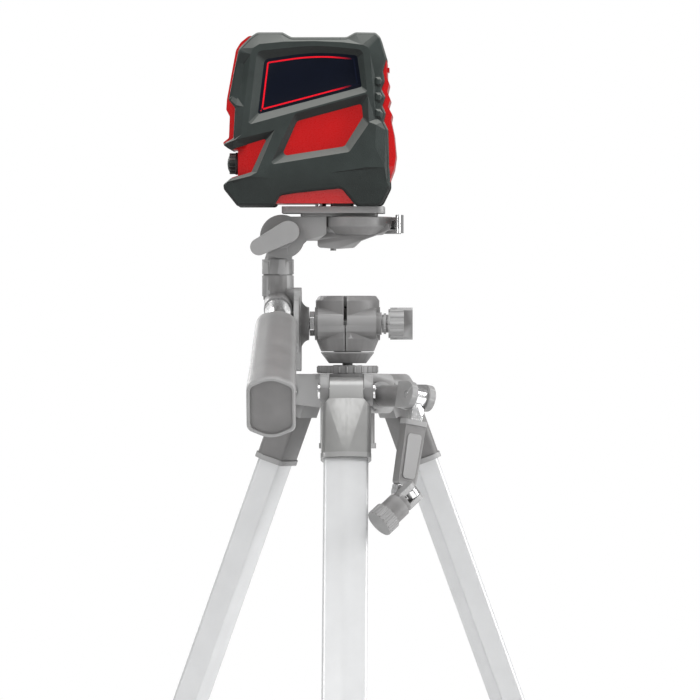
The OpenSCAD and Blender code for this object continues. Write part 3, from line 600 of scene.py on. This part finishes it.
def grip():
    """The moulded grip: a rounded shape that swells towards the far end, with a hollow rim there."""
    joint = next(j for j in frame["record"]["behaviour"]["joints"] if j["name"] == "handle_turn")
    root, along, across = Vector(joint["pos_m"]), Vector(joint["axis"]), Vector((1, 0, 0))
    up = along.cross(across)
    rings = []
    for s, w, h, bulge in GRIP:
        w, h = w / 2, h / 2
        shape = [(-w, -h + bulge, w * 0.3), (0, -h - 0.4 * bulge, w * 1.2), (w, -h + bulge, w * 0.3),
                 (w, h - bulge, w * 0.3), (0, h + 0.4 * bulge, w * 1.2), (-w, h - bulge, w * 0.3)]
        outline = even(rounded(shape), GRIP_POINTS)
        rings.append([root + (along * s + across * x + up * y) * MM for x, y in outline])
    node = "handle_grip"
    piece(node + "_moulding", loft(rings), BODY_OF[node], SLOTS[node], node, sharp=28)


grip()

# ---------- broken edges on the castings ----------

SOFT = {0.5: ["crown", "platform", "tilt_arm", "pan_drum", "quick_plate", "crank_hub", "crank_arm",
              "brace_collar", "pan_base", "column_lock_ring", "guide_cap", "wing_knob", "release_lever",
              "pan_knob", "crank_grip", "crank_yoke"],
        0.3: ["leg_bolts", "tilt_bolt", "flip_pin", "crank_tang"]}
for width, nodes in SOFT.items():
    for node in nodes:
        softened(node, width * MM)
for leg in LEGS:
    for node in ("bracket_", "clamp_", "clamp_lever_", "foot_", "strut_"):
        softened(node + leg, 0.5 * MM)

# The lock knob's knurled head is rubber, its collar plastic
KNOB_HEAD = LASER_X - 43.15 * MM
knob = softened("lock_knob", 0.2 * MM)
knob.data.materials.append(MATERIALS["bumper_rubber"])
for face in knob.data.polygons:
    if face.center.x < KNOB_HEAD:
        face.material_index = 1

# ---------- floor, light and camera ----------

FLOOR_REACH = 1.5        # the floor ends while it is still as bright as the background


def stage():
    """A plain pale floor."""
    bm = bmesh.new()
    corners = ((-1, -1), (1, -1), (1, 1), (-1, 1))
    bm.faces.new([bm.verts.new((x * FLOOR_REACH, y * FLOOR_REACH, 0)) for x, y in corners])
    obj = plain_object("floor", bm)
    obj.data.materials.append(finish_surface("floor_look", (0.85, 0.85, 0.85), 0.7, 40, 0.0001, vary=0.01))


def studio_world():
    """Dim even light from all round, before a white background."""
    world = bpy.data.worlds.new("studio")
    world.use_nodes = True
    tree = world.node_tree
    dim = tree.nodes["Background"]
    dim.inputs["Color"].default_value = (1, 1, 1, 1)
    dim.inputs["Strength"].default_value = 0.3
    white = add(tree, "ShaderNodeBackground", Color=(1, 1, 1, 1), Strength=1.0)
    mix = add(tree, "ShaderNodeMixShader")
    tree.links.new(add(tree, "ShaderNodeLightPath").outputs["Is Camera Ray"], mix.inputs[0])
    tree.links.new(dim.outputs[0], mix.inputs[1])
    tree.links.new(white.outputs[0], mix.inputs[2])
    tree.links.new(mix.outputs[0], tree.nodes["World Output"].inputs["Surface"])
    bpy.context.scene.world = world


def area_light(name, place, size, power):
    """A rectangular light that looks at the laser."""
    data = bpy.data.lights.new(name, "AREA")
    data.shape = "RECTANGLE"
    data.size, data.size_y = size
    data.energy = power
    obj = bpy.data.objects.new(name, data)
    obj.location = place
    aim = Vector((0, COLUMN_Y, LASER_Z)) - obj.location
    obj.rotation_euler = aim.to_track_quat("-Z", "Y").to_euler()
    bpy.context.collection.objects.link(obj)


stage()
area_light("key", (-1.6, -1.7, 1.8), (0.9, 0.9), 22)
area_light("top", (0.0, -0.5, 3.0), (3.0, 3.0), 95)
area_light("strip", (-1.3, -1.8, 0.45), (0.12, 1.4), 6)
area_light("rim", (1.6, -0.3, 0.6), (0.4, 1.8), 30)
area_light("back", (-1.2, 2.0, 1.2), (1.2, 1.2), 20)
studio_world()
bpy.context.scene.view_settings.view_transform = "Standard"

# The photograph is taken level, from far away and a little to the right, with the laser in its upper third
DISTANCE = 5.0
VIEW_HEIGHT = 404.6 * MM
VIEW_CENTRE = Vector((2 * MM, COLUMN_Y - HALF, LASER_Z - 83.3 * MM))
TURN = math.radians(1)
cam_data = bpy.data.cameras.new("camera")
cam_data.lens = cam_data.sensor_width * DISTANCE / VIEW_HEIGHT
cam = bpy.data.objects.new("camera", cam_data)
cam.location = VIEW_CENTRE + Vector((math.sin(TURN), -math.cos(TURN), 0)) * DISTANCE
cam.rotation_euler = (math.radians(90), 0, TURN)
cam_data.clip_end = 100
bpy.context.collection.objects.link(cam)
bpy.context.scene.camera = cam

bpy.context.view_layer.update()
